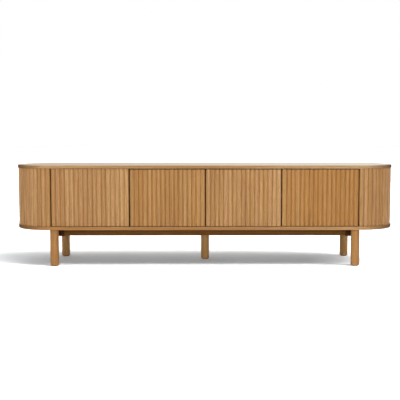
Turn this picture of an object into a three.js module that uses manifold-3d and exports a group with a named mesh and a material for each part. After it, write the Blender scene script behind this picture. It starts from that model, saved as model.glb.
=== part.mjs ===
// A long, low media cabinet in oak: round reeded ends, four reeded doors, round legs.
// Millimetres, +Z up. The origin is on the floor under the middle of the cabinet;
// +X is to the right of someone facing the doors, and -Y is the front.
import * as THREE from "three";
import { mergeVertices } from "three/addons/utils/BufferGeometryUtils.js";
import Module from "manifold-3d";

// ---- Driving dimensions ----
const LENGTH = 2100;
const DEPTH = 400;
const HEIGHT = 550;
const FLOOR_CLEARANCE = 200;
const TOP_THICKNESS = 17;
const BASE_THICKNESS = 18;
const BOARD = 18; // uprights and centre divider
const FIT = 0.3; // gap between pieces that touch

// Reeding: convex ribs on a thin backing, glued to doors and ends
const REED_INSET = 3; // crest of the ribs, back from the edge of the top
const REED_RISE = 6.5;
const REED_BACKING = 4;
const REED_STEPS = 4; // straight facets on one rib
const END_REEDS = 26;
const DOOR_REEDS = 17;
const CORE = 16; // board behind the reeding

// Doors, as plan positions out from the middle
const DOOR_GAP = 5; // between an outer door and an end
const MEETING_GAP = 6; // between two doors
const DOOR_DRIFT = 2.8; // the gaps between doors sit this far to the right of their true places
const INNER_DOOR_EDGE = 412; // middle of the gap between an inner and an outer door, without drift
const OUTER_DOOR_EDGE = 834; // middle of the gap between an outer door and an end
const DOOR_TOP_GAP = 4.5;
const DOOR_BASE_GAP = 2.5;
const OUTER_LEFT_EXTRA = 2.5; // the outer left door reaches this much higher than the others
const DOOR_BACK_GAP = 2; // doors to the front edges of the carcass

// Concealed hinges
const HINGE_FROM_DOOR_END = 60;
const CUP_RADIUS = 17.5;
const CUP_DEPTH = 11.7;
const CUP_FROM_DOOR_EDGE = 22;

// Push latches
const LATCH_FROM_DOOR_EDGE = 38;
const LATCH_WIDTH = 16;
const LATCH_HEIGHT = 14;
const LATCH_LENGTH = 74;
const PLUNGER_RADIUS = 4;

// Inside
const SHELF = 16;
const SHELF_SETBACK = 17; // shelf front, back from the front edges of the uprights
const GROOVE = 4;
const BACK_THICKNESS = 9;
const CABLE_HOLE_RADIUS = 30;
const CABLE_HOLE_X = 300; // out from the middle

// Legs and the frame between them
const LEG_RADIUS = 23.5;
const LEG_X = 822;
const LEG_Y = 166;
const CENTRE_LEG_Y = 65;
const LEG_SIDES = 24;
const PAD_HEIGHT = 3;
const PAD_RADIUS = 18;
const RAIL_HEIGHT = 38;
const SIDE_RAIL_THICKNESS = 20;
const LONG_RAIL_THICKNESS = 34;
const LONG_RAIL_FACE_Y = 137;
const LONG_RAIL_SHOULDER_X = 774; // where a long rail steps back to its tenon
const TENON_THICKNESS = 12;
const BRACKET_THICKNESS = 4; // of the steel plate over each tenon
const BRACKET_HEIGHT = 44; // down from the underside of the base, past the bottom of the rail

// ---- Levels and faces worked out from them ----
const BASE_TOP = FLOOR_CLEARANCE + BASE_THICKNESS;
const TOP_UNDERSIDE = HEIGHT - TOP_THICKNESS;
const END_RADIUS = DEPTH / 2;
const STRAIGHT_X = LENGTH / 2 - END_RADIUS; // where the round ends begin
const CREST_Y = DEPTH / 2 - REED_INSET;
const GROOVE_Y = CREST_Y - REED_RISE;
const CORE_FACE_Y = GROOVE_Y - REED_BACKING - FIT;
const CORE_BACK_Y = CORE_FACE_Y - CORE;
const CARCASS_FRONT_Y = -(CORE_BACK_Y - DOOR_BACK_GAP);
const CARCASS_REAR_Y = CORE_BACK_Y - FIT;
const DOOR_BASE = BASE_TOP + DOOR_BASE_GAP;
const DOOR_TOP = TOP_UNDERSIDE - DOOR_TOP_GAP;
const END_EDGE_X = OUTER_DOOR_EDGE + DOOR_GAP / 2;
const UPRIGHT_X = OUTER_DOOR_EDGE + BOARD / 6; // middle of an upright, under both door and end
const SHELF_Z = (BASE_TOP + TOP_UNDERSIDE) / 2;

// ---- Materials ----
const oakTop = { color: 0xc9a581, roughness: 0.42, metalness: 0 };
const oakReeded = { color: 0xb58d62, roughness: 0.55, metalness: 0 };
const oakPlain = { color: 0xb98f62, roughness: 0.55, metalness: 0 };
const oakLeg = { color: 0xb8875a, roughness: 0.5, metalness: 0 };
const oakRail = { color: 0x8a6138, roughness: 0.6, metalness: 0 };
const steel = { color: 0xb4b6b8, roughness: 0.3, metalness: 1 };
const greyPlastic = { color: 0x8d8f90, roughness: 0.5, metalness: 0 };
const blackNylon = { color: 0x2a2a2a, roughness: 0.6, metalness: 0 };

const cabinet = new THREE.Group();

function addMesh(name, geometry, look) {
  const mesh = new THREE.Mesh(geometry, new THREE.MeshStandardMaterial(look));
  mesh.name = name;
  cabinet.add(mesh);
  return mesh;
}

// ---- Solids ----
const wasm = await Module();
wasm.setup();

function toSolid(geometry) {
  const bare = geometry.clone();
  bare.deleteAttribute("normal");
  bare.deleteAttribute("uv");
  const merged = mergeVertices(bare, 1e-4);
  return new wasm.Manifold(
    new wasm.Mesh({
      numProp: 3,
      vertProperties: merged.attributes.position.array,
      triVerts: new Uint32Array(merged.index.array),
    }),
  );
}

function toGeometry(solid) {
  const mesh = solid.getMesh();
  const geometry = new THREE.BufferGeometry();
  geometry.setAttribute("position", new THREE.BufferAttribute(mesh.vertProperties, 3));
  geometry.setIndex(new THREE.BufferAttribute(mesh.triVerts, 1));
  geometry.computeVertexNormals();
  return geometry;
}

const join = (...pieces) => toGeometry(pieces.map(toSolid).reduce((sum, next) => sum.add(next)));

const cut = (piece, ...tools) =>
  toGeometry(tools.map(toSolid).reduce((rest, tool) => rest.subtract(tool), toSolid(piece)));

// A box given by its lowest and highest corner.
function block([x0, y0, z0], [x1, y1, z1]) {
  return new THREE.BoxGeometry(x1 - x0, y1 - y0, z1 - z0).translate(
    (x0 + x1) / 2,
    (y0 + y1) / 2,
    (z0 + z1) / 2,
  );
}

// A box on the left or right of the cabinet: its x distances run out from the middle.
function sideBlock(side, [x0, y0, z0], [x1, y1, z1]) {
  return side > 0 ? block([x0, y0, z0], [x1, y1, z1]) : block([-x1, y0, z0], [-x0, y1, z1]);
}

// A plan outline drawn up from one level to another.
function prism(shape, low, high, curveSegments = 12) {
  const options = { depth: high - low, bevelEnabled: false, curveSegments };
  return new THREE.ExtrudeGeometry(shape, options).translate(0, 0, low);
}

const rodAlongZ = (radius, low, high, sides) =>
  new THREE.CylinderGeometry(radius, radius, high - low, sides)
    .rotateX(Math.PI / 2)
    .translate(0, 0, (low + high) / 2);

const rodAlongY = (radius, front, rear, sides) =>
  new THREE.CylinderGeometry(radius, radius, rear - front, sides).translate(0, (front + rear) / 2, 0);

// ---- Reeding ----
// Height of a rib above its grooves, a share of the way across it (0 to 1).
function ribHeight(share, pitch) {
  const radius = (pitch * pitch / 4 + REED_RISE * REED_RISE) / (2 * REED_RISE);
  const across = (share - 0.5) * pitch;
  return Math.sqrt(radius * radius - across * across) - (radius - REED_RISE);
}

// Plan outline of a reeded skin. pointAt(along, out) gives the point that far along the line of
// the grooves and that far out from it.
function reededShape(pointAt, length, reeds) {
  const pitch = length / reeds;
  const points = [];
  for (let reed = 0; reed < reeds; reed += 1) {
    for (let step = 0; step < REED_STEPS; step += 1) {
      const share = step / REED_STEPS;
      points.push(pointAt((reed + share) * pitch, ribHeight(share, pitch)));
    }
  }
  points.push(pointAt(length, 0));
  for (let reed = reeds; reed >= 0; reed -= 1) {
    points.push(pointAt(reed * pitch, -REED_BACKING));
  }
  return new THREE.Shape(points);
}

// The line of the grooves round the right-hand end, from the front to the rear.
const END_STRAIGHT = STRAIGHT_X - END_EDGE_X;
const END_LINE = 2 * END_STRAIGHT + Math.PI * GROOVE_Y;

function endPoint(along, out) {
  const radius = GROOVE_Y + out;
  const turn = (along - END_STRAIGHT) / GROOVE_Y;
  if (turn < 0) return new THREE.Vector2(END_EDGE_X + along, -radius);
  if (turn > Math.PI) return new THREE.Vector2(END_EDGE_X + END_LINE - along, radius);
  return new THREE.Vector2(STRAIGHT_X + radius * Math.sin(turn), -radius * Math.cos(turn));
}

const mirrored = (shape) =>
  new THREE.Shape(shape.getPoints().map((point) => new THREE.Vector2(-point.x, point.y)));

// ---- Top and base ----
function stadium() {
  const shape = new THREE.Shape();
  shape.moveTo(-STRAIGHT_X, -END_RADIUS);
  shape.lineTo(STRAIGHT_X, -END_RADIUS);
  shape.absarc(STRAIGHT_X, 0, END_RADIUS, -Math.PI / 2, Math.PI / 2);
  shape.lineTo(-STRAIGHT_X, END_RADIUS);
  shape.absarc(-STRAIGHT_X, 0, END_RADIUS, Math.PI / 2, (3 * Math.PI) / 2);
  return shape;
}

const END_ARC_STEPS = 40;
addMesh("top_panel", prism(stadium(), TOP_UNDERSIDE, HEIGHT, END_ARC_STEPS), oakTop);
addMesh("base_panel", prism(stadium(), FLOOR_CLEARANCE, BASE_TOP, END_ARC_STEPS), oakPlain);

// ---- Carcass between them ----
const CARCASS_LOW = BASE_TOP + FIT;
const CARCASS_HIGH = TOP_UNDERSIDE - FIT;
const SHELF_FRONT_Y = CARCASS_FRONT_Y + SHELF_SETBACK;
const UPRIGHT_INNER = UPRIGHT_X - BOARD / 2;
const GROOVE_LOW = SHELF_Z - SHELF / 2 - FIT;
const GROOVE_HIGH = SHELF_Z + SHELF / 2 + FIT;

// The groove that a shelf slides into from the rear; its x distances run out from the middle.
const shelfGroove = (side, inner, outer) =>
  sideBlock(
    side,
    [inner, SHELF_FRONT_Y - FIT, GROOVE_LOW],
    [outer, CARCASS_REAR_Y + 1, GROOVE_HIGH],
  );

const divider = block(
  [-BOARD / 2, CARCASS_FRONT_Y, CARCASS_LOW],
  [BOARD / 2, CARCASS_REAR_Y, CARCASS_HIGH],
);
const dividerGrooves = [-1, 1].map((side) => shelfGroove(side, BOARD / 2 - GROOVE, BOARD));
addMesh("centre_divider", cut(divider, ...dividerGrooves), oakPlain);

const cableHole = (side, z) =>
  rodAlongY(CABLE_HOLE_RADIUS, 0, DEPTH, 24).translate(side * CABLE_HOLE_X, 0, z);

for (const [sideName, side] of [["left", -1], ["right", 1]]) {
  const upright = sideBlock(
    side,
    [UPRIGHT_INNER, CARCASS_FRONT_Y, CARCASS_LOW],
    [UPRIGHT_INNER + BOARD, CARCASS_REAR_Y, CARCASS_HIGH],
  );
  const groove = shelfGroove(side, UPRIGHT_INNER - 1, UPRIGHT_INNER + GROOVE);
  addMesh(`${sideName}_upright`, cut(upright, groove), oakPlain);

  const shelf = sideBlock(
    side,
    [BOARD / 2 - GROOVE + FIT, SHELF_FRONT_Y, SHELF_Z - SHELF / 2],
    [UPRIGHT_INNER + GROOVE - FIT, CARCASS_REAR_Y - FIT, SHELF_Z + SHELF / 2],
  );
  addMesh(`${sideName}_shelf`, shelf, oakPlain);

  const backPanel = sideBlock(
    side,
    [FIT / 2, CARCASS_REAR_Y + FIT, CARCASS_LOW],
    [END_EDGE_X - FIT, CARCASS_REAR_Y + FIT + BACK_THICKNESS, CARCASS_HIGH],
  );
  const lowerHole = cableHole(side, (BASE_TOP + GROOVE_LOW) / 2);
  const upperHole = cableHole(side, (GROOVE_HIGH + TOP_UNDERSIDE) / 2);
  addMesh(`${sideName}_back_panel`, cut(backPanel, lowerHole, upperHole), oakPlain);
}

// ---- Round ends: a bent board with the reeding wrapped round it ----
function endCoreShape() {
  const pitch = END_LINE / END_REEDS;
  const outer = [];
  const inner = [];
  for (let reed = 0; reed <= END_REEDS; reed += 1) {
    outer.push(endPoint(reed * pitch, -REED_BACKING - FIT));
    inner.unshift(endPoint(reed * pitch, -REED_BACKING - FIT - CORE));
  }
  return new THREE.Shape([...outer, ...inner]);
}

for (const [sideName, place] of [["left", mirrored], ["right", (shape) => shape]]) {
  const skin = place(reededShape(endPoint, END_LINE, END_REEDS));
  addMesh(`${sideName}_end_core`, prism(place(endCoreShape()), CARCASS_LOW, CARCASS_HIGH), oakPlain);
  addMesh(`${sideName}_end_reeding`, prism(skin, CARCASS_LOW, CARCASS_HIGH), oakReeded);
}

// ---- Doors ----
// hingeSide is the side of the door that its hinges are on: -1 left, 1 right. wall is the x of
// the face that its hinge arms are screwed to.
const [LEFT_MEETING, MIDDLE_MEETING, RIGHT_MEETING] = [-INNER_DOOR_EDGE, 0, INNER_DOOR_EDGE].map(
  (place) => place + DOOR_DRIFT,
);
const HALF_GAP = DOOR_GAP / 2;
const HALF_MEETING = MEETING_GAP / 2;
const doors = [
  {
    name: "outer_left",
    x0: -OUTER_DOOR_EDGE + HALF_GAP,
    x1: LEFT_MEETING - HALF_MEETING,
    hingeSide: -1,
    wall: -UPRIGHT_INNER,
  },
  {
    name: "inner_left",
    x0: LEFT_MEETING + HALF_MEETING,
    x1: MIDDLE_MEETING - HALF_MEETING,
    hingeSide: 1,
    wall: -BOARD / 2,
  },
  {
    name: "inner_right",
    x0: MIDDLE_MEETING + HALF_MEETING,
    x1: RIGHT_MEETING - HALF_MEETING,
    hingeSide: -1,
    wall: BOARD / 2,
  },
  {
    name: "outer_right",
    x0: RIGHT_MEETING + HALF_MEETING,
    x1: OUTER_DOOR_EDGE - HALF_GAP,
    hingeSide: 1,
    wall: UPRIGHT_INNER,
  },
];
const extras = { outer_left: OUTER_LEFT_EXTRA };

const CUP_SIDES = 20;
const cupHole = (x, z) =>
  rodAlongY(CUP_RADIUS + FIT, -CORE_BACK_Y - CUP_DEPTH - FIT, 0, CUP_SIDES).translate(x, 0, z);

// A steel cup let into the back of the door, with its screw flange and the pocket for the links.
function hingeCup(x, z) {
  const face = -CORE_BACK_Y + FIT;
  const flangeFace = face + 1.5;
  const cup = rodAlongY(CUP_RADIUS, -CORE_BACK_Y - CUP_DEPTH, flangeFace, CUP_SIDES).translate(x, 0, z);
  const flange = block([x - 9, face, z - 31], [x + 9, flangeFace, z + 31]);
  const pocket = block([x - 8, face - 9, z - 11], [x + 8, flangeFace + 1, z + 11]);
  return cut(join(cup, flange), pocket);
}

// A hinge arm on its mounting plate, screwed to the side of an upright or of the divider.
// Its inward direction is away from the board that it is screwed to.
function hingeArm(wall, inward, z) {
  const reach = (near, far, y0, y1, halfHeight) => {
    const edges = [wall + inward * near, wall + inward * far];
    return block([Math.min(...edges), y0, z - halfHeight], [Math.max(...edges), y1, z + halfHeight]);
  };
  const rear = CARCASS_FRONT_Y + 68;
  const plate = reach(FIT, 3, CARCASS_FRONT_Y + 20, CARCASS_FRONT_Y + 52, 24);
  const arm = reach(2, 12, CARCASS_FRONT_Y + 6, rear, 7);
  const nose = reach(9, 15, CARCASS_FRONT_Y + 3, CARCASS_FRONT_Y + 22, 6);
  return join(plate, arm, nose);
}

// A push latch under the top: a housing with a bore, and the plunger that slides in it.
function latchHousing(x) {
  const top = TOP_UNDERSIDE - FIT;
  const front = CARCASS_FRONT_Y + 7;
  const axisZ = top - LATCH_HEIGHT / 2;
  const half = LATCH_WIDTH / 2;
  const body = block([x - half, front, top - LATCH_HEIGHT], [x + half, front + LATCH_LENGTH, top]);
  const ears = block([x - half - 10, front + 20, top - 3], [x + half + 10, front + 50, top]);
  const bore = rodAlongY(PLUNGER_RADIUS + FIT, front - 1, front + LATCH_LENGTH - 6, 12);
  return cut(join(body, ears), bore.translate(x, 0, axisZ));
}

function latchPlunger(x) {
  const axisZ = TOP_UNDERSIDE - FIT - LATCH_HEIGHT / 2;
  const tip = -CORE_BACK_Y + FIT;
  const head = rodAlongY(PLUNGER_RADIUS + 1.5, tip, tip + 5, 12);
  const rod = rodAlongY(PLUNGER_RADIUS, tip + 4, CARCASS_FRONT_Y + 60, 12);
  return join(head, rod).translate(x, 0, axisZ);
}

for (const door of doors) {
  const { x0, x1 } = door;
  const hingeEdge = door.hingeSide < 0 ? x0 : x1;
  const meetingEdge = door.hingeSide < 0 ? x1 : x0;
  const cupX = hingeEdge - door.hingeSide * CUP_FROM_DOOR_EDGE;
  const latchX = meetingEdge + door.hingeSide * LATCH_FROM_DOOR_EDGE;
  const hinges = [
    ["lower", DOOR_BASE + HINGE_FROM_DOOR_END],
    ["upper", DOOR_TOP - HINGE_FROM_DOOR_END],
  ];

  const high = DOOR_TOP + (extras[door.name] ?? 0);
  const core = block([x0, -CORE_FACE_Y, DOOR_BASE], [x1, -CORE_BACK_Y, high]);
  const cupHoles = hinges.map(([, z]) => cupHole(cupX, z));
  addMesh(`${door.name}_door`, cut(core, ...cupHoles), oakPlain);

  const doorPoint = (along, out) => new THREE.Vector2(x0 + along, -GROOVE_Y - out);
  const skin = reededShape(doorPoint, x1 - x0, DOOR_REEDS);
  addMesh(`${door.name}_reeding`, prism(skin, DOOR_BASE, high), oakReeded);

  for (const [level, z] of hinges) {
    addMesh(`${door.name}_${level}_hinge_cup`, hingeCup(cupX, z), steel);
    addMesh(`${door.name}_${level}_hinge_arm`, hingeArm(door.wall, -door.hingeSide, z), steel);
  }
  addMesh(`${door.name}_latch_housing`, latchHousing(latchX), greyPlastic);
  addMesh(`${door.name}_latch_plunger`, latchPlunger(latchX), greyPlastic);
}

// ---- Legs, pads and the rails between them ----
const legPlaces = [
  ["front_left", -LEG_X, -LEG_Y],
  ["front_right", LEG_X, -LEG_Y],
  ["rear_left", -LEG_X, LEG_Y],
  ["rear_right", LEG_X, LEG_Y],
  ["centre", 0, CENTRE_LEG_Y],
];
for (const [name, x, y] of legPlaces) {
  const leg = addMesh(
    `${name}_leg`,
    rodAlongZ(LEG_RADIUS, PAD_HEIGHT, FLOOR_CLEARANCE - FIT, LEG_SIDES),
    oakLeg,
  );
  const pad = addMesh(`${name}_foot_pad`, rodAlongZ(PAD_RADIUS, 0, PAD_HEIGHT - FIT, LEG_SIDES), blackNylon);
  leg.position.set(x, y, 0);
  pad.position.set(x, y, 0);
}

const RAIL_HIGH = FLOOR_CLEARANCE - FIT;
const RAIL_LOW = FLOOR_CLEARANCE - RAIL_HEIGHT;
const SIDE_RAIL_INNER = LEG_X - SIDE_RAIL_THICKNESS / 2;
const SIDE_RAIL_REACH = LEG_Y - LEG_RADIUS - FIT;

// A long rail runs between the side rails, with a thin tenon at the back of each end and a steel
// bracket over it. side is -1 for the front rail and 1 for the rear one, whose tenons are at its front.
function longRail(side) {
  const face = side * LONG_RAIL_FACE_Y;
  const back = face - side * LONG_RAIL_THICKNESS;
  const tenonFace = back + side * TENON_THICKNESS;
  const bracketFace = tenonFace + side * BRACKET_THICKNESS;
  const slice = (from, to, y0, y1, low) =>
    block([from, Math.min(y0, y1), low], [to, Math.max(y0, y1), RAIL_HIGH]);
  const tip = SIDE_RAIL_INNER - FIT;
  const bracketLow = FLOOR_CLEARANCE - BRACKET_HEIGHT;
  return join(
    slice(-LONG_RAIL_SHOULDER_X, LONG_RAIL_SHOULDER_X, face, back, RAIL_LOW),
    slice(-tip, tip, tenonFace, back, RAIL_LOW),
    slice(-tip, -LONG_RAIL_SHOULDER_X, bracketFace, tenonFace, bracketLow),
    slice(LONG_RAIL_SHOULDER_X, tip, bracketFace, tenonFace, bracketLow),
  );
}

const sideRail = (side) =>
  sideBlock(
    side,
    [SIDE_RAIL_INNER, -SIDE_RAIL_REACH, RAIL_LOW],
    [SIDE_RAIL_INNER + SIDE_RAIL_THICKNESS, SIDE_RAIL_REACH, RAIL_HIGH],
  );
addMesh("front_rail", longRail(-1), oakRail);
addMesh("rear_rail", longRail(1), oakRail);
addMesh("left_side_rail", sideRail(-1), oakRail);
addMesh("right_side_rail", sideRail(1), oakRail);

export default cabinet;
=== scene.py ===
"""Media cabinet in natural oak: the looks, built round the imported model. Metres, +Z up, doors to -Y."""

import math
import random

import bpy
import bmesh
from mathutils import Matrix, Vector

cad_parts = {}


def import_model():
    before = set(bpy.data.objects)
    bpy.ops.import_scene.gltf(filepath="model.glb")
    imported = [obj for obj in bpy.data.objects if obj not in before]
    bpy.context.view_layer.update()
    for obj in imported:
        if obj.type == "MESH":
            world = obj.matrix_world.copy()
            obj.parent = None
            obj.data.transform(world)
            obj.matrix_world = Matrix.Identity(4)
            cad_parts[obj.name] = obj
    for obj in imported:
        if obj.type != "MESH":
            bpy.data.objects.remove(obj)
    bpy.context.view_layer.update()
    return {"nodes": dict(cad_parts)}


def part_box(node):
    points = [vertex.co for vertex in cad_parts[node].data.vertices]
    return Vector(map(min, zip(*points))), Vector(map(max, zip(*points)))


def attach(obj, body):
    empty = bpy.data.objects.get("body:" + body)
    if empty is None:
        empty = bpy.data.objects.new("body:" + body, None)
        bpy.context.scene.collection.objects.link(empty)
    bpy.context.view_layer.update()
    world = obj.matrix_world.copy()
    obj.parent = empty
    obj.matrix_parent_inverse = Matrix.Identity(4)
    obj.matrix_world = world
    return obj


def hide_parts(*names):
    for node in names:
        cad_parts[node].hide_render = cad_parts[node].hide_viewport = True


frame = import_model()

# ---- Shared sizes ----
MM = 0.001
TOP_LOW, TOP_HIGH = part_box("top_panel")
END_RADIUS = (TOP_HIGH.y - TOP_LOW.y) / 2
STRAIGHT_X = TOP_HIGH.x - END_RADIUS
DOORS = ("outer_left", "inner_left", "inner_right", "outer_right")
LEGS = ("front_left", "front_right", "rear_left", "rear_right", "centre")
SIDES = {"left": -1, "right": 1}
CARCASS = "carcass"

# How far the changes along the top and base reach: the painted shade in from each tip, and the darker
# middle out from the middle
TIP_SHADE_REACH = 130 * MM
MIDDLE_REACH = 600 * MM

# The groove value of a wall that gets the painted shade of the gaps round the doors. It is 0 on the crest
# of a rib and 1 in a groove.
GAP_SHADE_WALL = 2.0

# Faces that meet at a sharper turn than this, in degrees, are shaded with an edge between them
SHARP_TURN = 35


# ---- Materials ----
def srgb(red, green, blue):
    """A colour given as 0-255 screen values, in linear light."""
    def linear(value):
        share = value / 255
        return share / 12.92 if share <= 0.04045 else ((share + 0.055) / 1.055) ** 2.4
    return (linear(red), linear(green), linear(blue), 1.0)


# The colour sockets of a Mix node, which share their names with its other sockets
MIX_SHARE, MIX_FIRST, MIX_SECOND, MIX_RESULT = 0, 6, 7, 2


class Graph:
    """A material's node tree, built node by node."""

    def __init__(self, name):
        self.material = bpy.data.materials.new(name)
        self.material.use_nodes = True
        self.tree = self.material.node_tree
        self.tree.nodes.clear()

    def add(self, kind, inputs=None, **settings):
        """A node. Each input is a number, a colour, or the output of another node."""
        node = self.tree.nodes.new(kind)
        for key, value in settings.items():
            setattr(node, key, value)
        for key, value in (inputs or {}).items():
            if isinstance(value, bpy.types.NodeSocket):
                self.tree.links.new(value, node.inputs[key])
            else:
                node.inputs[key].default_value = value
        return node

    def noise(self, vector, detail, roughness=0.55, distortion=0.0):
        inputs = {"Vector": vector, "Scale": 1.0, "Detail": detail, "Roughness": roughness,
                  "Distortion": distortion}
        return self.add("ShaderNodeTexNoise", inputs).outputs["Fac"]

    def stretch(self, vector, across, along):
        """A place scaled so that a noise repeats this many times a metre across and along the grain."""
        inputs = {"Vector": vector, "Scale": (across, across, along)}
        return self.add("ShaderNodeMapping", inputs).outputs["Vector"]

    def span(self, value, low, high, to_low=0.0, to_high=1.0):
        """A value that runs from to_low to to_high while the given one runs from low to high."""
        inputs = {"Value": value, "From Min": low, "From Max": high, "To Min": to_low, "To Max": to_high}
        return self.add("ShaderNodeMapRange", inputs).outputs["Result"]

    def math(self, operation, first, second=0.0):
        node = self.add("ShaderNodeMath", {0: first, 1: second}, operation=operation)
        return node.outputs["Value"]

    def mix(self, share, first, second, blend="MIX"):
        inputs = {MIX_SHARE: share, MIX_FIRST: first, MIX_SECOND: second}
        node = self.add("ShaderNodeMix", inputs, data_type="RGBA", blend_type=blend)
        return node.outputs[MIX_RESULT]

    def attribute(self, name, output="Fac"):
        """A value or vector that the mesh gives for each of its points."""
        return self.add("ShaderNodeAttribute", attribute_name=name).outputs[output]

    def finish(self, inputs):
        """The material, ending in a principled shader with these inputs."""
        shader = self.add("ShaderNodeBsdfPrincipled", inputs)
        output = self.add("ShaderNodeOutputMaterial")
        self.tree.links.new(shader.outputs["BSDF"], output.inputs["Surface"])
        return self.material


# The turn that brings the axis of the grain to z
GRAIN_TURN = {"x": (0.0, math.pi / 2, 0.0), "z": (0.0, 0.0, 0.0)}

# Colours within the wood, and the browns of painted shade in the grooves, near the tips and in the gaps
PALEST = srgb(250, 236, 210)
WARM_OAK = srgb(154, 108, 50)
PINK_OAK = srgb(168, 124, 92)
# Painted shade: the brown that the grooves between ribs are tinted towards
GROOVE_SHADE_BROWN = srgb(158, 98, 14)
# Painted shade near the tips: the colour there is turned towards this tan
TIP_SHADE_TAN = srgb(166, 120, 72)
# Painted shade: the dark brown at the round ends of the top and base edges, where they turn away from the
# light
ROUND_END_SHADE_BROWN = srgb(70, 42, 6)
LATE_WOOD = srgb(132, 92, 54)
FINE_LINE = srgb(150, 108, 66)
OPEN_PORE = srgb(112, 74, 42)
# Painted shade: the dark brown that the gaps round the doors show, put on the faces that line them
GAP_SHADE_BROWN = srgb(74, 40, 9)
GAP_SHADE_SHARE = 0.9
# How much of the painted shade near the tips shows at each tip
TIP_SHADE_SHARE = 0.48

# Growth rings to the metre, each way across the grain, and how far the slow wander bends them, in radians
RINGS_EACH_WAY = {"X": 62.0, "Y": 48.0}
RING_WANDER = 46.0


def late_wood(g, grained):
    """Growth lines: bands across the board, bent by a slow wander so that they close into long arches."""
    wander = g.noise(g.stretch(grained, 5.5, 0.8), detail=2)
    across = g.add("ShaderNodeSeparateXYZ", {"Vector": grained}).outputs
    rings_x, rings_y = [g.math("MULTIPLY", across[axis], count) for axis, count in RINGS_EACH_WAY.items()]
    turns = g.math("MULTIPLY", g.math("ADD", rings_x, rings_y), math.tau)
    wave = g.math("SINE", g.math("ADD", turns, g.math("MULTIPLY", wander, RING_WANDER)))
    return g.span(wave, 0.15, 1.0)


def board_colour(g, colour, deep, pale):
    """The tone and warmth of each board or rib, the painted shade in the grooves, and the darker painted
    shade of the gaps on the walls beyond them.
    """
    tone = g.attribute("tone")
    warmth = g.attribute("warmth")
    groove = g.attribute("groove")
    colour = g.mix(g.span(tone, 0.5, 0.0, 0.0, 0.75), colour, deep)
    colour = g.mix(g.span(tone, 0.5, 1.0, 0.0, 0.75), colour, pale)
    colour = g.mix(g.span(warmth, 0.5, 1.0, 0.0, 0.7), colour, WARM_OAK)
    colour = g.mix(g.span(warmth, 0.5, 0.0, 0.0, 0.6), colour, PINK_OAK)
    # Painted shade in the grooves, deepest at the bottom of each groove
    colour = g.mix(g.span(groove, 0.35, 1.0, 0.0, 0.3), colour, GROOVE_SHADE_BROWN)
    # Painted shade of the gaps round the doors, on the outer walls of each reeding
    return g.mix(g.span(groove, 1.0, GAP_SHADE_WALL, 0.0, GAP_SHADE_SHARE), colour, GAP_SHADE_BROWN)


def length_colour(g, colour, place, deep, paler_right, darker_middle):
    """The change along a board as long as the cabinet: paler to the right, painted shade near its tips, and
    darker in the middle.
    """
    length = g.add("ShaderNodeSeparateXYZ", {"Vector": place}).outputs["X"]
    from_middle = g.math("ABSOLUTE", length)
    colour = g.mix(g.span(length, TOP_LOW.x, STRAIGHT_X, 0.0, paler_right), colour, PALEST)
    # Painted shade near the tips, growing towards each end
    colour = g.mix(g.span(from_middle, TOP_HIGH.x - TIP_SHADE_REACH, TOP_HIGH.x, 0.0, TIP_SHADE_SHARE), colour, TIP_SHADE_TAN)
    return g.mix(g.span(from_middle, 0.0, MIDDLE_REACH, darker_middle, 0.0), colour, deep)


def gap_shade_faces(g, colour, gap_shade):
    """Painted shade, the dark brown of the gaps round the doors, on the faces that look forward, or on
    those around a door.
    """
    facing = g.add("ShaderNodeTexCoord").outputs["Normal"]
    depth = g.add("ShaderNodeSeparateXYZ", {"Vector": facing}).outputs["Y"]
    if gap_shade == "front":
        share = g.span(depth, -0.6, -0.8, 0.0, GAP_SHADE_SHARE)
    else:
        share = g.span(g.math("ABSOLUTE", depth), 0.4, 0.2, 0.0, GAP_SHADE_SHARE)
    return g.mix(share, colour, GAP_SHADE_BROWN)


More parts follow.
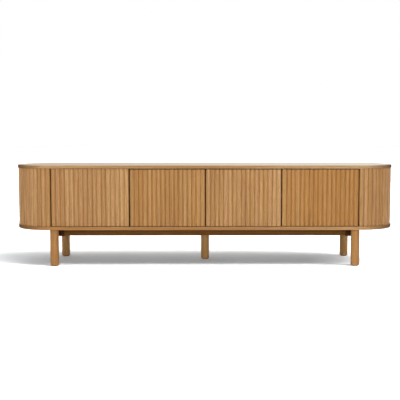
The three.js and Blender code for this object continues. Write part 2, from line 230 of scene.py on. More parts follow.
def oak(name, grain, deep, middle, pale, roughness, contrast=1.0, boards=False, paler_right=0.0,
        darker_middle=0.0, round_end_shade=False, ior=1.45, coat=0.12, gap_shade=None):
    """Oak under satin lacquer. grain is the axis that the grain runs along.
    With boards, each board or rib has its own tone, warmth and place in the tree, read from its mesh.
    With the round-end flag set, the mesh says how far into each round end a point lies, and there the
    colour is painted darker: painted shade where the edge turns away from the light.
    paler_right is how much paler the board gets towards its right-hand end, and darker_middle how much
    darker it is in the middle of its length.
    The last argument names the faces that get painted shade, the dark brown of the gaps round the doors:
    "front" ones, or the "edges" around a door."""
    g = Graph(name)
    place = g.add("ShaderNodeTexCoord").outputs["Object"]
    if boards:
        shift = g.attribute("shift", "Vector")
        place = g.add("ShaderNodeVectorMath", {0: place, 1: shift}, operation="ADD").outputs["Vector"]
    turn = {"Vector": place, "Rotation": GRAIN_TURN[grain]}
    grained = g.add("ShaderNodeMapping", turn).outputs["Vector"]

    cloud = g.noise(g.stretch(grained, 9, 0.9), detail=3)
    streak = g.noise(g.stretch(grained, 130, 3.2), detail=6, roughness=0.62, distortion=0.35)
    fine = g.noise(g.stretch(grained, 620, 14), detail=3)
    pore = g.noise(g.stretch(grained, 1700, 55), detail=2)
    fleck = g.noise(g.stretch(grained, 420, 150), detail=1)
    mottle = g.noise(g.stretch(grained, 150, 60), detail=2)

    tone = g.math("ADD", g.math("MULTIPLY", g.span(cloud, 0.3, 0.7), 0.45),
                  g.math("MULTIPLY", g.span(streak, 0.28, 0.72), 0.55))
    colour = g.mix(g.span(tone, 0.15, 0.5), deep, middle)
    colour = g.mix(g.span(tone, 0.5, 0.9), colour, pale)
    if boards:
        colour = board_colour(g, colour, deep, pale)
    if paler_right:
        colour = length_colour(g, colour, place, deep, paler_right, darker_middle)
    # Painted shade at the round ends, darkest at each tip
    if round_end_shade:
        colour = g.mix(g.span(g.attribute("round_end_shade"), 0.08, 0.9, 0.0, 0.95), colour, ROUND_END_SHADE_BROWN)
    late_share = g.math("MULTIPLY", late_wood(g, grained), 0.16 * contrast)
    colour = g.mix(late_share, colour, LATE_WOOD, "MULTIPLY")
    colour = g.mix(g.span(mottle, 0.35, 0.65, 0.16 * contrast, 0.0), colour, deep)
    colour = g.mix(g.span(fine, 0.42, 0.62, 0.0, 0.22 * contrast), colour, FINE_LINE, "MULTIPLY")
    colour = g.mix(g.span(pore, 0.58, 0.7, 0.0, 0.55 * contrast), colour, OPEN_PORE)
    colour = g.mix(g.span(fleck, 0.66, 0.75, 0.0, 0.25 * contrast), colour, pale)
    # Painted shade of the gaps round the doors, on the faces that line them
    if gap_shade:
        colour = gap_shade_faces(g, colour, gap_shade)

    relief = g.math("SUBTRACT", g.span(pore, 0.56, 0.72, 1.0, 0.0), g.math("MULTIPLY", fine, 0.35))
    bump = g.add("ShaderNodeBump", {"Strength": 0.22, "Distance": 0.25 * MM, "Height": relief})
    rough = g.span(streak, 0.3, 0.7, roughness - 0.05, roughness + 0.08)
    return g.finish({
        "Base Color": colour, "Roughness": rough, "Normal": bump.outputs["Normal"],
        "IOR": ior, "Coat Weight": coat, "Coat Roughness": 0.35,
    })


def nickel(name):
    """Nickel plate with faint drawing lines and a few dull patches."""
    g = Graph(name)
    place = g.add("ShaderNodeTexCoord").outputs["Object"]
    lines = g.noise(g.stretch(place, 90, 2600), detail=3)
    patches = g.noise(g.stretch(place, 60, 60), detail=3)
    colour = g.mix(g.span(patches, 0.35, 0.7), srgb(206, 206, 204), srgb(182, 183, 184))
    rough = g.math("ADD", g.span(patches, 0.3, 0.7, 0.2, 0.34), g.span(lines, 0.3, 0.7, 0.0, 0.08))
    bump = g.add("ShaderNodeBump", {"Strength": 0.08, "Distance": 0.05 * MM, "Height": lines})
    return g.finish({"Base Color": colour, "Metallic": 1.0, "Roughness": rough,
                     "Normal": bump.outputs["Normal"]})


def moulded(name, dark, light, roughness, ior=1.45):
    """Moulded plastic or powder paint: a fine even texture and a slight change of tone."""
    g = Graph(name)
    place = g.add("ShaderNodeTexCoord").outputs["Object"]
    grit = g.noise(g.stretch(place, 3200, 3200), detail=2)
    cloud = g.noise(g.stretch(place, 45, 45), detail=3)
    colour = g.mix(g.span(cloud, 0.3, 0.7), dark, light)
    bump = g.add("ShaderNodeBump", {"Strength": 0.15, "Distance": 0.08 * MM, "Height": grit})
    rough = g.span(cloud, 0.3, 0.7, roughness - 0.06, roughness + 0.06)
    return g.finish({"Base Color": colour, "Roughness": rough, "Normal": bump.outputs["Normal"],
                     "IOR": ior})


DEEP, MIDDLE, PALE = srgb(141, 102, 58), srgb(157, 120, 74), srgb(172, 138, 92)
MATERIALS = {
    # Painted sheen: the top's face is given an oak much paler than its edge and the doors, standing in for
    # the light that its satin face catches
    "oak_top": oak("oak_top", "x", srgb(190, 149, 106), srgb(205, 169, 125), srgb(218, 188, 146), 0.36,
                   paler_right=0.85),
    # The edge of the top gets painted shade near its tips and at its round ends
    "oak_lipping": oak("oak_lipping", "x", srgb(128, 94, 56), srgb(147, 113, 71), srgb(162, 130, 89), 0.6,
                       paler_right=0.1, darker_middle=0.7, round_end_shade=True, ior=1.17, coat=0.0),
    "oak_reeding": oak("oak_reeding", "z", DEEP, MIDDLE, PALE, 0.5, contrast=1.45, boards=True, ior=1.27,
                       coat=0.0),
    "oak_edge": oak("oak_edge", "x", DEEP, MIDDLE, PALE, 0.5),
    # The edge of the base gets painted shade near its tips and at its round ends
    "oak_base": oak("oak_base", "x", srgb(126, 86, 44), srgb(145, 102, 55), srgb(159, 118, 69), 0.6,
                    paler_right=0.08, darker_middle=0.5, round_end_shade=True, ior=1.17, coat=0.0),
    # The fronts of the uprights and the edges of the doors, seen through the gaps, get painted shade
    "oak_upright": oak("oak_upright", "z", DEEP, MIDDLE, PALE, 0.6, ior=1.2, coat=0.0, gap_shade="front"),
    "oak_door": oak("oak_door", "z", DEEP, MIDDLE, PALE, 0.6, ior=1.2, coat=0.0, gap_shade="edges"),
    "oak_leg": oak("oak_leg", "z", srgb(133, 92, 50), srgb(156, 113, 64), srgb(182, 139, 86), 0.5,
                   boards=True, ior=1.2, coat=0.0),
    # Painted shade: the rails are given a very dark brown, standing in for the shade under the base
    "oak_rail": oak("oak_rail", "x", srgb(70, 40, 7), srgb(86, 53, 12), srgb(100, 66, 20), 0.7,
                    ior=1.2, coat=0.0),
    "hinge_steel": nickel("hinge_steel"),
    # Painted shade: a shadow-dark brown for the plates beside the legs
    "bracket_shade_brown": moulded("bracket_shade_brown", srgb(54, 24, 3), srgb(72, 36, 6), 0.7, ior=1.2),
    "backing_grey": moulded("backing_grey", srgb(112, 112, 112), srgb(124, 124, 125), 0.7),
    "latch_plastic": moulded("latch_plastic", srgb(138, 141, 143), srgb(156, 158, 160), 0.5),
    "foot_nylon": moulded("foot_nylon", srgb(24, 24, 25), srgb(40, 40, 42), 0.6),
}


# ---- Mesh helpers ----
def piece(name, vertices, faces, material, body, stands_for):
    """A named piece from its vertices and faces, riding on a body and standing for CAD nodes."""
    mesh = bpy.data.meshes.new(name)
    mesh.from_pydata(vertices, [], faces)
    mesh.validate()
    mesh.materials.append(MATERIALS[material])
    outward = bmesh.new()
    outward.from_mesh(mesh)
    bmesh.ops.recalc_face_normals(outward, faces=outward.faces)
    outward.to_mesh(mesh)
    outward.free()
    mesh.shade_smooth()
    mesh.set_sharp_from_angle(angle=math.radians(SHARP_TURN))
    made = bpy.data.objects.new(name, mesh)
    bpy.context.scene.collection.objects.link(made)
    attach(made, body)
    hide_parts(*stands_for)
    return made


def mark(made, tones, warmths, shifts, grooves):
    """Write the values that oak() and board_colour() read at each point."""
    for name, values in (("tone", tones), ("warmth", warmths), ("groove", grooves)):
        made.data.attributes.new(name, "FLOAT", "POINT").data.foreach_set("value", values)
    made.data.attributes.new("shift", "FLOAT_VECTOR", "POINT").data.foreach_set("vector", shifts)


TREE_REACH = (3, 3, 9)


def place_in_tree(chance):
    """A random offset in metres, so that no two boards show the same grain."""
    return [chance.uniform(-reach, reach) for reach in TREE_REACH]


def loft(rings):
    """Vertices and faces of a closed solid through rings of equal length, capped at both ends."""
    count = len(rings[0])
    vertices = [point for ring in rings for point in ring]
    faces = []
    for level in range(len(rings) - 1):
        low = level * count
        high = low + count
        for i in range(count):
            j = (i + 1) % count
            faces.append((low + i, low + j, high + j, high + i))
    faces.append(tuple(reversed(range(count))))
    faces.append(tuple(range(len(vertices) - count, len(vertices))))
    return vertices, faces


def merged(*solids):
    """Several solids as one list of vertices and faces."""
    vertices, faces = [], []
    for solid_vertices, solid_faces in solids:
        start = len(vertices)
        vertices += solid_vertices
        faces += [tuple(start + i for i in face) for face in solid_faces]
    return vertices, faces


def rounded_steps(size, steps=4):
    """(inset, rise) pairs round a quarter circle: from the side of an edge up to its flat face."""
    return [
        (size * (1 - math.cos(turn)), size * math.sin(turn))
        for turn in (math.pi / 2 * step / steps for step in range(steps + 1))
    ]


def slab_levels(low, high, lower_round, upper_round):
    """(inset, height) pairs up the side of a slab with rounded arrises."""
    up = [(inset, high - upper_round + rise) for inset, rise in rounded_steps(upper_round)]
    down = [(inset, low + lower_round - rise) for inset, rise in rounded_steps(lower_round)]
    return down[::-1] + up


def rectangle(u0, v0, u1, v1):
    """A flat outline, anticlockwise, from two opposite corners in any order."""
    u0, u1 = sorted((u0, u1))
    v0, v1 = sorted((v0, v1))
    return [(u0, v0), (u1, v0), (u1, v1), (u0, v1)]


def directions(outline):
    """For each corner of an outline: the corner, and unit vectors to the one before and the one after."""
    count = len(outline)
    for i, point in enumerate(outline):
        corner = Vector(point)
        before = Vector(outline[i - 1]) - corner
        after = Vector(outline[(i + 1) % count]) - corner
        yield corner, before.normalized(), after.normalized()


def eased(outline, radius, steps=4):
    """A square-cornered outline with its outward corners turned into quarter circles."""
    points = []
    for corner, before, after in directions(outline):
        if after.cross(before) < 0:
            points.append(tuple(corner))
            continue
        centre = corner + (before + after) * radius
        for step in range(steps + 1):
            turn = math.pi / 2 * step / steps
            points.append(tuple(centre - (after * math.cos(turn) + before * math.sin(turn)) * radius))
    return points


def shrunk(outline, inset):
    """An anticlockwise outline moved inward."""
    points = []
    for corner, before, after in directions(outline):
        first = Vector((before.y, -before.x))
        second = Vector((-after.y, after.x))
        points.append(tuple(corner + (first + second) * (inset / (1 + first.dot(second)))))
    return points


PLAN, UPRIGHT, SIDEWAYS = "plan", "upright", "sideways"
LAY = {
    PLAN: lambda u, v, w: (u, v, w),
    UPRIGHT: lambda u, v, w: (u, w, v),
    SIDEWAYS: lambda u, v, w: (w, u, v),
}


def slab(outline, low, high, arris, way=PLAN):
    """A solid between two levels of an outline, its arrises rounded. The outline is drawn in plan, in
    the plane of the doors, or in the plane of the uprights."""
    levels = slab_levels(*sorted((low, high)), arris, arris)
    return loft([[LAY[way](u, v, w) for u, v in shrunk(outline, inset)] for inset, w in levels])


def turned_along(way, u, v, profile, sides=32):
    """A turned solid; profile is (radius, level) pairs along the line that way stands for."""
    turns = [2 * math.pi * step / sides for step in range(sides)]
    return loft([
        [LAY[way](u + radius * math.cos(t), v + radius * math.sin(t), level) for t in turns]
        for radius, level in profile
    ])


# ---- Top and base ----
def stadium_ring(inset, z, steps=56):
    """The outline of the top and base, moved inward: two straight sides and two half circles."""
    radius = END_RADIUS - inset
    ring = []
    for side in (1, -1):
        for step in range(steps + 1):
            turn = math.pi * (step / steps - 0.5)
            ring.append((side * (STRAIGHT_X + radius * math.cos(turn)), side * radius * math.sin(turn), z))
    return ring


def panel(node, face_material, edge_material, under_material, lower_round, upper_round):
    """A panel with half-round ends, other materials on its edge and underside, and rounded arrises. The
    top's face is much paler than its edge: painted sheen.
    """
    low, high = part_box(node)
    levels = slab_levels(low.z, high.z, lower_round, upper_round)
    vertices, faces = loft([stadium_ring(inset, z) for inset, z in levels])
    made = piece(node + "_finished", vertices, faces, face_material, CARCASS, [node])
    mesh = made.data
    mesh.materials.append(MATERIALS[edge_material])
    mesh.materials.append(MATERIALS[under_material])
    for face in mesh.polygons:
        if len(face.vertices) == 4:
            face.material_index = 1
        elif face.normal.z < 0:
            face.material_index = 2
    # How far into a round end each point lies: where the painted shade of the round ends falls
    ends = [max(abs(vertex.co.x) - STRAIGHT_X, 0) / END_RADIUS for vertex in mesh.vertices]
    mesh.attributes.new("round_end_shade", "FLOAT", "POINT").data.foreach_set("value", ends)


panel("top_panel", "oak_top", "oak_lipping", "oak_edge", 1.5 * MM, 2 * MM)
panel("base_panel", "oak_edge", "oak_base", "backing_grey", 1 * MM, 1.5 * MM)


# ---- Reeding: separate ribs on a backing ----
DOOR_REEDS = 17
END_REEDS = 26
REED_RISE = 6.5 * MM
REED_BACKING = 4 * MM
RIB_STEPS = 14
RIB_END_ROUND = 0.8 * MM

# Tones run from 0 for deep to 1 for pale, and warmths from 0 for pink to 1 for yellow. A door has a mean
# tone at its left and at its right, and a round end has one at the front and one at the back. A few
# neighbouring ribs are cut from one board.
DOOR_TONES = {"outer_left": (0.42, 0.76), "inner_left": (0.28, 0.26), "inner_right": (0.36, 0.7),
              "outer_right": (0.5, 0.0)}
DOOR_WARMTHS = {"outer_left": 0.42, "inner_left": 0.7, "inner_right": 0.5, "outer_right": 0.95}
END_TONES = {"left": (0.45, 0.3), "right": (0.2, 0.2)}
END_WARMTH = 0.56
RIBS_PER_BOARD = 3
BOARD_TONE_SPREAD = 0.15
RIB_TONE_SPREAD = 0.11
RIB_WARMTH_SPREAD = 0.12

# Pale ribs near the right of each door, counted from the left of a door
PALE_RIBS = {"outer_left": 15, "inner_left": 15, "inner_right": 16}
PALE_TONE = 0.95

DOOR_SEED = 11
END_SEED = 31


def rib_height(share, pitch):
    """Height above the groove, a share of the way across a rib whose face is an arc."""
    radius = (pitch * pitch / 4 + REED_RISE * REED_RISE) / (2 * REED_RISE)
    across = (share - 0.5) * pitch
    return math.sqrt(radius * radius - across * across) - (radius - REED_RISE)


def rib_outline(reed, pitch):
    """(along, out) points round a rib: its arched face and its flat back. along is counted in ribs."""
    shares = [step / RIB_STEPS for step in range(RIB_STEPS + 1)]
    face = [(reed + share, rib_height(share, pitch)) for share in shares]
    return face + [(reed + 1, -REED_BACKING), (reed, -REED_BACKING)]


def groove_value(along, out, reeds):
    """1 in a groove and 0 on the crest of a rib. The two outer walls of a reeding get the painted shade of
    the gaps round the doors.
    """
    if out <= 0 and along in (0, reeds):
        return GAP_SHADE_WALL
    return 1 - max(out, 0) / REED_RISE


def reeding(name, node, body, point_at, length, reeds, side_tones, mean_warmth, seed, pale_rib=None):
    """Ribs side by side along a line. point_at(along, out) is the plan point that far along and out."""
    low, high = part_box(node)
    pitch = length / reeds
    levels = slab_levels(low.z, high.z, RIB_END_ROUND, RIB_END_ROUND)
    first_tone, last_tone = side_tones
    chance = random.Random(seed)
    ribs, tones, warmths, shifts, grooves = [], [], [], [], []
    for reed in range(reeds):
        if reed % RIBS_PER_BOARD == 0:
            board_tone = chance.gauss(0, BOARD_TONE_SPREAD)
        if reed == pale_rib:
            tone = PALE_TONE
        else:
            mean_tone = first_tone + (last_tone - first_tone) * reed / (reeds - 1)
            tone = mean_tone + board_tone + chance.gauss(0, RIB_TONE_SPREAD)
        warmth = mean_warmth + chance.gauss(0, RIB_WARMTH_SPREAD)
        shift = place_in_tree(chance)
        outline = rib_outline(reed, pitch)
        rings = []
        for inset, z in levels:
            ring = [point_at(along * pitch, out - (inset if out > 0 else 0)) for along, out in outline]
            rings.append([point + (z,) for point in ring])
        rib = loft(rings)
        ribs.append(rib)
        points = len(rib[0])
        tones += [tone] * points
        warmths += [warmth] * points
        shifts += shift * points
        grooves += [groove_value(along, out, reeds) for along, out in outline] * len(rings)
    vertices, faces = merged(*ribs)
    made = piece(name, vertices, faces, "oak_reeding", body, [node])
    mark(made, tones, warmths, shifts, grooves)


for number, door in enumerate(DOORS):
    node = door + "_reeding"
    low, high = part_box(node)
    groove_y = low.y + REED_RISE

    def door_point(along, out, left=low.x, groove=groove_y):
        """The plan point that far along a door from its left and that far out from the grooves."""
        return (left + along, groove - out)

    reeding(node + "_ribs", node, door + "_door", door_point, high.x - low.x, DOOR_REEDS, DOOR_TONES[door],
            DOOR_WARMTHS[door], seed=DOOR_SEED + number, pale_rib=PALE_RIBS.get(door))

for side_name, side in SIDES.items():
    node = side_name + "_end_reeding"
    low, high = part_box(node)
    groove_radius = high.y - REED_RISE
    edge_x = min(abs(low.x), abs(high.x))
    straight = STRAIGHT_X - edge_x

    def end_point(along, out, side=side, groove=groove_radius, edge=edge_x, straight=straight):
        """The same for a round end, from its front edge: a short straight, a half circle, a straight."""
        radius = groove + out
        turn = (along - straight) / groove
        if turn < 0:
            return (side * (edge + along), -radius)
        if turn > math.pi:
            return (side * (edge + 2 * straight + math.pi * groove - along), radius)
        return (side * (STRAIGHT_X + radius * math.sin(turn)), -radius * math.cos(turn))

    reeding(node + "_ribs", node, CARCASS, end_point, 2 * straight + math.pi * groove_radius, END_REEDS,
            END_TONES[side_name], END_WARMTH, seed=END_SEED + side)


# ---- Legs and pads ----
LEG_SIDES = 48
# Painted light and shade: the front legs get a deeper tone and the rear and centre legs a paler one,
# evening out how the light falls on them under the cabinet
LEG_PAINTED_LIGHT_TONES = {"front_left": 0.42, "front_right": 0.3, "rear_left": 1.0, "rear_right": 0.8, "centre": 1.0}
LEG_WARMTH = 0.5
LEG_SEED = 51


def turned(node, material, lower_round, upper_round):
    """A turned piece standing on a vertical axis, with its two arrises rounded."""
    low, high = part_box(node)
    x, y = (low.x + high.x) / 2, (low.y + high.y) / 2
    radius = (high.x - low.x) / 2
    profile = [(radius - inset, z) for inset, z in slab_levels(low.z, high.z, lower_round, upper_round)]
    vertices, faces = turned_along(PLAN, x, y, profile, LEG_SIDES)
    return piece(node + "_turned", vertices, faces, material, CARCASS, [node])


leg_chance = random.Random(LEG_SEED)
for leg in LEGS:
    made = turned(leg + "_leg", "oak_leg", 4 * MM, 1 * MM)
    points = len(made.data.vertices)
    mark(made, [LEG_PAINTED_LIGHT_TONES[leg]] * points, [LEG_WARMTH] * points, place_in_tree(leg_chance) * points,
         [0.0] * points)
    turned(leg + "_foot_pad", "foot_nylon", 0.8 * MM, 0.3 * MM)


# ---- Rails ----
RAIL_CORNER = 1.5 * MM
RAIL_ARRIS = 1.2 * MM
RAIL_SHOULDER_X = 774 * MM
TENON_THICKNESS = 12 * MM


def rail_outline(node):
    """Plan of a rail. A long one steps back at each end to a tenon on its inner face."""
    low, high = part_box(node)
    if high.x - low.x < high.y - low.y:
        return rectangle(low.x, low.y, high.x, high.y)
    shoulder = RAIL_SHOULDER_X
    if low.y < 0:
        step = high.y - TENON_THICKNESS
        return [(-shoulder, low.y), (shoulder, low.y), (shoulder, step), (high.x, step), (high.x, high.y),
                (low.x, high.y), (low.x, step), (-shoulder, step)]
    step = low.y + TENON_THICKNESS
    return [(low.x, low.y), (high.x, low.y), (high.x, step), (shoulder, step), (shoulder, high.y),
            (-shoulder, high.y), (-shoulder, step), (low.x, step)]


# The brackets reach lower than the rails, so the box of a long rail doesn't give its underside
RAIL_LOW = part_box("left_side_rail")[0].z
for node in ("front_rail", "rear_rail", "left_side_rail", "right_side_rail"):
    low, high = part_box(node)
    outline = eased(rail_outline(node), RAIL_CORNER)
    vertices, faces = slab(outline, RAIL_LOW, high.z, RAIL_ARRIS)
    # Dark oak with the painted shade of the space under the base
    piece(node + "_shaped", vertices, faces, "oak_rail", CARCASS, [node])


# ---- Hinges and latches ----
SCREW_RADIUS = 3.6 * MM
EAR_HALF_WIDTH = 9 * MM
EAR_START = 14 * MM
EAR_SCREW = 24 * MM
EAR_THICKNESS = 1.5 * MM
EAR_CORNER = 6 * MM
EAR_ARRIS = 0.35 * MM


def screw_head(way, u, v, face, out):
    """A screw head with a hollow in its middle. out is +1 or -1 along the line that it points."""
    rim = [(SCREW_RADIUS, face - out * 0.4 * MM), (SCREW_RADIUS, face + out * 0.25 * MM),
           (SCREW_RADIUS * 0.8, face + out * 0.6 * MM), (SCREW_RADIUS * 0.42, face + out * 0.6 * MM),
           (SCREW_RADIUS * 0.2, face - out * 0.2 * MM)]
    return turned_along(way, u, v, rim, sides=20)


BRACKET_THICKNESS = 4 * MM
BRACKET_GAP = 0.4 * MM
BRACKET_CORNER = 3 * MM
BRACKET_ARRIS = 0.5 * MM
BRACKET_SCREW_X = RAIL_SHOULDER_X + 12 * MM
BRACKET_SCREW_FROM_EDGE = 10 * MM
BRACKET_SCREW_SUNK = 0.7 * MM


def bracket(rail, side_name, side):
    """A brown plate over the tenon at one end of a long rail, held by two screws. Its dark brown is painted
    shade, put where the corner beside the legs lies in shadow.
    """
    low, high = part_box(rail)
    facing = -1 if low.y < 0 else 1
    tenon_back = high.y if facing < 0 else low.y
    near = tenon_back + facing * (TENON_THICKNESS + BRACKET_GAP)
    far = tenon_back + facing * (TENON_THICKNESS + BRACKET_THICKNESS)
    inner, outer = side * (RAIL_SHOULDER_X + BRACKET_GAP), side * high.x
    outline = eased(rectangle(inner, low.z, outer, high.z), BRACKET_CORNER)
    solids = [slab(outline, near, far, BRACKET_ARRIS, UPRIGHT)]
    for z in (low.z + BRACKET_SCREW_FROM_EDGE, high.z - BRACKET_SCREW_FROM_EDGE):
        face = far - facing * BRACKET_SCREW_SUNK
        solids.append(screw_head(UPRIGHT, side * BRACKET_SCREW_X, z, face, facing))
    vertices, faces = merged(*solids)
    piece(f"{rail}_{side_name}_bracket", vertices, faces, "bracket_shade_brown", CARCASS, [rail])


for rail in ("front_rail", "rear_rail"):
    for side_name, side in SIDES.items():
        bracket(rail, side_name, side)


def hinge_cup(door, level):
    """A pressed cup with a screwed ear above and below it."""
    node = f"{door}_{level}_hinge_cup"
    low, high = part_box(node)
    x, z = (low.x + high.x) / 2, (low.z + high.z) / 2
    radius = (high.x - low.x) / 2
    ear_end = (high.z - low.z) / 2
    cup = turned_along(UPRIGHT, x, z, [
        (radius - 2 * MM, low.y), (radius - 0.6 * MM, low.y + 0.5 * MM), (radius, low.y + 2 * MM),
        (radius, high.y - 0.4 * MM), (radius - 0.4 * MM, high.y), (radius - 1.6 * MM, high.y),
        (radius - 2 * MM, high.y - 0.4 * MM), (radius - 2.4 * MM, low.y + 2.4 * MM),
        (radius - 4 * MM, low.y + 1.2 * MM)], sides=48)
    solids = [cup]
    for up in (-1, 1):
        ear = rectangle(x - EAR_HALF_WIDTH, z + up * EAR_START, x + EAR_HALF_WIDTH, z + up * ear_end)
        solids.append(slab(eased(ear, EAR_CORNER), high.y - EAR_THICKNESS, high.y, EAR_ARRIS, UPRIGHT))
        solids.append(screw_head(UPRIGHT, x, z + up * EAR_SCREW, high.y - 0.6 * MM, 1))
    pin = turned_along(PLAN, x, high.y - 6 * MM, [
        (1.2 * MM, z - 11 * MM), (1.9 * MM, z - 10.4 * MM), (1.9 * MM, z + 10.4 * MM),
        (1.2 * MM, z + 11 * MM)], sides=16)
    solids.append(pin)
    vertices, faces = merged(*solids)
    piece(node + "_pressed", vertices, faces, "hinge_steel", door + "_door", [node])


def hinge_arm(door, level):
    """A cranked arm on its screwed mounting plate."""
    node = f"{door}_{level}_hinge_arm"
    low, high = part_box(node)
    z = (low.z + high.z) / 2
    tall = (high.z - low.z) / 2
    cup_low, cup_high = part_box(f"{door}_{level}_hinge_cup")
    inward = 1 if cup_low.x + cup_high.x > low.x + high.x else -1
    wall = low.x if inward > 0 else high.x

    def reach(distance):
        """The x that many millimetres off the wall that the arm is screwed to."""
        return wall + inward * distance * MM

    def behind(distance):
        """The y that many millimetres behind the nose of the arm."""
        return low.y + distance * MM

    plate = slab(eased(rectangle(behind(17), z - tall, behind(49), z + tall), 5 * MM),
                 reach(0), reach(2.7), 0.4 * MM, SIDEWAYS)
    arm = slab(eased(rectangle(behind(3), z - 7 * MM, high.y, z + 7 * MM), 3 * MM),
               reach(1.7), reach(11.7), 1.4 * MM, SIDEWAYS)
    nose = slab(eased(rectangle(low.y, z - 6 * MM, behind(19), z + 6 * MM), 2.5 * MM),
                reach(8.7), reach(14.7), 1 * MM, SIDEWAYS)
    solids = [plate, arm, nose]
    solids += [screw_head(SIDEWAYS, behind(33), z + up * 18 * MM, reach(2.7), inward) for up in (-1, 1)]
    solids += [screw_head(SIDEWAYS, behind(back), z, reach(11.7), inward) for back in (30, 54)]
    vertices, faces = merged(*solids)
    piece(node + "_formed", vertices, faces, "hinge_steel", CARCASS, [node])


def plunger(door):
    """A push latch's plunger: a rod with a domed pad on the end that meets the door."""
    node = door + "_latch_plunger"
    low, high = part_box(node)
    x, z = (low.x + high.x) / 2, (low.z + high.z) / 2
    radius = (high.x - low.x) / 2
    rod = radius - 1.5 * MM
    profile = [(radius * 0.55, low.y), (radius * 0.85, low.y + 0.4 * MM), (radius, low.y + 1.4 * MM),
               (radius, low.y + 4.2 * MM), (radius - 0.6 * MM, low.y + 5 * MM), (rod * 0.8, low.y + 5 * MM),
               (rod * 0.8, low.y + 6.5 * MM), (rod, low.y + 7 * MM), (rod, high.y - 0.8 * MM),
               (rod - 0.8 * MM, high.y)]
    vertices, faces = turned_along(UPRIGHT, x, z, profile)
    piece(node + "_turned", vertices, faces, "latch_plastic", door + "_plunger", [node])


for door in DOORS:
    for level in ("lower", "upper"):
        hinge_cup(door, level)
        hinge_arm(door, level)
    plunger(door)


# ---- CAD nodes that keep their shape, with their arrises eased ----
KEPT = {
    "oak_edge": ["left_shelf", "right_shelf", "left_back_panel", "right_back_panel"],
    "oak_upright": ["centre_divider", "left_upright", "right_upright", "left_end_core", "right_end_core"],
    "latch_plastic": [door + "_latch_housing" for door in DOORS],
    "oak_door": [door + "_door" for door in DOORS],
}
KEPT_ARRIS = 0.7 * MM
for material, nodes in KEPT.items():
    for node in nodes:
        kept = frame["nodes"][node]
        kept.data.materials.clear()
        kept.data.materials.append(MATERIALS[material])
        arris = kept.modifiers.new("arris", "BEVEL")
        arris.width = KEPT_ARRIS
        arris.segments = 2
        arris.limit_method = "ANGLE"
        arris.angle_limit = math.radians(40)


# ---- Stage: floor, backdrop, light and camera ----
STUDIO_REACH = 30
STUDIO_HEIGHT = 20


def stage_piece(name, vertices, faces, material):
    """A piece of the studio, which isn't part of the cabinet."""
    mesh = bpy.data.meshes.new(name)
    mesh.from_pydata(vertices, [], faces)
    mesh.materials.append(material)
    made = bpy.data.objects.new(name, mesh)
    bpy.context.scene.collection.objects.link(made)
    return made


def floor():
    """A plain white floor that reaches as far as the backdrop."""
    g = Graph("floor_white")
    white = g.finish({"Base Color": (0.97, 0.97, 0.97, 1.0), "Roughness": 0.9})
    corners = [(x * STUDIO_REACH, y * STUDIO_REACH, 0) for x, y in ((-1, -1), (1, -1), (1, 1), (-1, 1))]
    return stage_piece("floor", corners, [(0, 1, 2, 3)], white)


def backdrop():
    """A white surround, seen and reflected but giving no light of its own."""
    g = Graph("backdrop_white")
    glow = g.add("ShaderNodeEmission", {"Color": (1.0, 1.0, 1.0, 1.0), "Strength": 1.0})
    output = g.add("ShaderNodeOutputMaterial")
    g.tree.links.new(glow.outputs["Emission"], output.inputs["Surface"])
    sides = 32
    turns = [2 * math.pi * step / sides for step in range(sides)]
    ring = [(STUDIO_REACH * math.cos(t), STUDIO_REACH * math.sin(t)) for t in turns]
    vertices = [(x, y, z) for z in (-1, STUDIO_HEIGHT) for x, y in ring]
    faces = [(i, (i + 1) % sides, (i + 1) % sides + sides, i + sides) for i in range(sides)]
    made = stage_piece("backdrop", vertices, faces, g.material)
    made.visible_diffuse = False
    made.visible_shadow = False


def soft_sun(name, right, front, spread, level, receivers, colour=(1.0, 1.0, 1.0), shadows=True):
    """A broad, even light. right and front are how far it leans that way for each metre up; level is
    the brightness it gives a white floor. It lights only the receivers."""
    toward = Vector((right, -front, 1)).normalized()
    data = bpy.data.lights.new(name, "SUN")
    data.angle = math.radians(spread)
    data.energy = level * math.pi / toward.z
    data.color = colour
    data.use_shadow = shadows
    made = bpy.data.objects.new(name, data)
    made.rotation_euler = toward.to_track_quat("Z", "Y").to_euler()
    bpy.context.scene.collection.objects.link(made)
    made.light_linking.receiver_collection = receivers


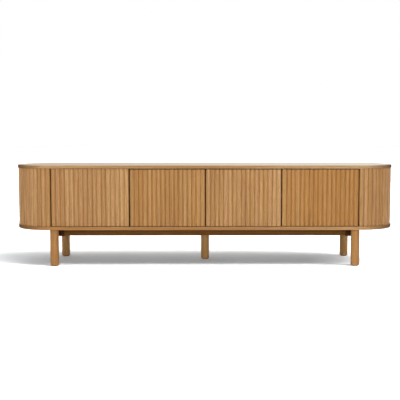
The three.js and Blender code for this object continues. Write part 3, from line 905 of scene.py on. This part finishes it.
def soft_box(name, place, target, width, height, power, receivers):
    """A rectangular light near the cabinet, so that the doors get darker downwards. The camera doesn't
    see it, and it lights only the receivers."""
    data = bpy.data.lights.new(name, "AREA")
    data.shape = "RECTANGLE"
    data.size, data.size_y = width, height
    data.energy = power
    made = bpy.data.objects.new(name, data)
    made.location = place
    made.rotation_euler = (Vector(place) - Vector(target)).to_track_quat("Z", "Y").to_euler()
    made.visible_camera = False
    bpy.context.scene.collection.objects.link(made)
    made.light_linking.receiver_collection = receivers


def world(strength):
    """An even white light from all round."""
    made = bpy.data.worlds.new("studio")
    made.use_nodes = True
    background = made.node_tree.nodes["Background"]
    background.inputs["Color"].default_value = (1.0, 1.0, 1.0, 1.0)
    background.inputs["Strength"].default_value = strength
    bpy.context.scene.world = made


def group(name, members):
    """A collection that a light can be limited to."""
    made = bpy.data.collections.new(name)
    for member in members:
        made.objects.link(member)
    return made


# The angles are in radians, and the lens and the sensor in millimetres
CAMERA_PLACE = (0, -4.2, 0.729)
CAMERA_PITCH = 0.0776
CAMERA_YAW = -0.0066
CAMERA_LENS = 66.93
CAMERA_SENSOR = 36
CAMERA_SHIFT = (-0.0247, -0.025)


def camera():
    """The photograph's camera, in front of the cabinet and looking slightly down."""
    data = bpy.data.cameras.new("camera")
    data.lens = CAMERA_LENS
    data.sensor_width = CAMERA_SENSOR
    data.shift_x, data.shift_y = CAMERA_SHIFT
    made = bpy.data.objects.new("camera", data)
    made.location = CAMERA_PLACE
    made.rotation_euler = (math.pi / 2 - CAMERA_PITCH, 0, CAMERA_YAW)
    bpy.context.scene.collection.objects.link(made)
    bpy.context.scene.camera = made


cabinet = group("cabinet", [made for made in bpy.data.objects if made.type == "MESH"])
ground = group("ground", [floor()])
backdrop()
world(strength=0.6)
for number, right in enumerate((0.35, 0.85, 1.4)):
    soft_sun(f"shadow_{number}", right, front=0.32, spread=23, level=0.36, receivers=ground)
soft_sun("floor_lift", right=0.0, front=0.3, spread=30, level=0.155, receivers=ground,
         colour=(0.82, 0.94, 1.0), shadows=False)
soft_sun("key", right=0.05, front=0.6, spread=40, level=0.04, receivers=cabinet)
soft_sun("fill", right=0.0, front=3.0, spread=26, level=0.07, receivers=cabinet)
soft_box("front", place=(0, -2.0, 1.75), target=(0, -0.2, 0.35), width=4.2, height=0.6, power=34,
         receivers=cabinet)
camera()
bpy.context.scene.view_settings.view_transform = "Standard"
